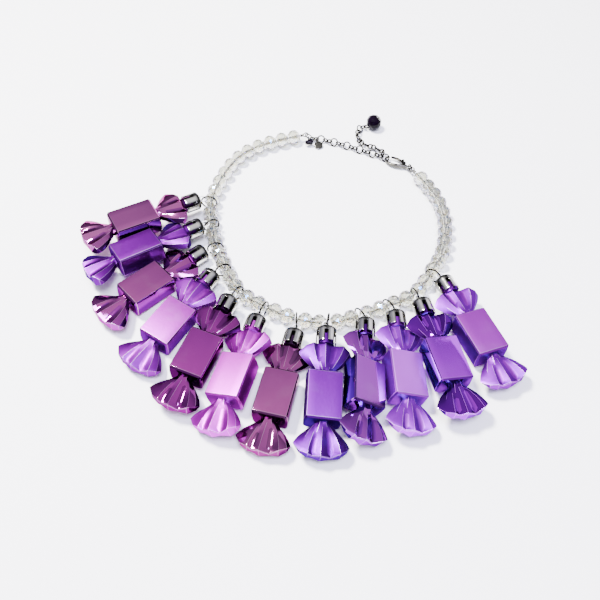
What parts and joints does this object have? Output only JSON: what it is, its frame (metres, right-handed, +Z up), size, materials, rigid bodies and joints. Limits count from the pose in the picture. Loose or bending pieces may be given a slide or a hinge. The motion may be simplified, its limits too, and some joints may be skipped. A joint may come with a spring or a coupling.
{
  "type": "necklace",
  "caption": "Fashion necklace of metallised plastic wrapped-sweet charms on clear faceted beads, with an extender chain and a lobster clasp, laid flat.",
  "frame": {"origin": "middle of the footprint, at the height of the table the necklace lies on", "axes": "+Z up from the table, charms hang towards -Y, clasp and chain towards +Y"},
  "size_m": [0.2562, 0.2629, 0.0215],
  "materials": {
    "mauve_plastic": "metallised, mirror gloss",
    "violet_plastic": "metallised, satin",
    "silver": "bright silver plate",
    "glass": "faceted and polished",
    "dark_glass": "faceted and polished, nearly opaque"
  },
  "bodies": {
    "necklace": {"candy_01": "mauve_plastic", "candy_02": "violet_plastic", "candy_03": "mauve_plastic", "candy_04": "violet_plastic", "candy_05": "mauve_plastic", "candy_06": "violet_plastic", "candy_07": "mauve_plastic", "candy_08": "violet_plastic", "candy_09": "mauve_plastic", "candy_10": "violet_plastic", "candy_11": "mauve_plastic", "candy_12": "violet_plastic", "cap_01": "silver", "cap_02": "silver", "cap_03": "silver", "cap_04": "silver", "cap_05": "silver", "cap_06": "silver", "cap_07": "silver", "cap_08": "silver", "cap_09": "silver", "cap_10": "silver", "cap_11": "silver", "cap_12": "silver", "ring_01": "silver", "ring_02": "silver", "ring_03": "silver", "ring_04": "silver", "ring_05": "silver", "ring_06": "silver", "ring_07": "silver", "ring_08": "silver", "ring_09": "silver", "ring_10": "silver", "ring_11": "silver", "ring_12": "silver", "bead_strand_01": "glass", "bead_strand_02": "glass", "bead_strand_03": "glass", "bead_strand_04": "glass", "bead_strand_05": "glass", "bead_strand_06": "glass", "bead_strand_07": "glass", "bead_strand_08": "glass", "bead_strand_09": "glass", "bead_strand_10": "glass", "bead_strand_11": "glass", "extender_chain": "silver", "crimp_left": "silver", "crimp_right": "silver", "jump_ring_left": "silver", "jump_ring_right": "silver", "tag": "silver", "clasp_body": "silver", "barrel": "dark_glass", "end_bead": "dark_glass"},
    "lever": {"clasp_lever": "silver"}
  },
  "joints": [
    {"name": "clasp_lever_hinge", "type": "hinge", "parent": "necklace", "child": "lever", "pos_m": [0.0765, 0.08637, 0.00247], "axis": [-0.0047, 0.003, 1], "range_deg": [0, 18], "stiffness_Nm_per_rad": 0.02}
  ]
}
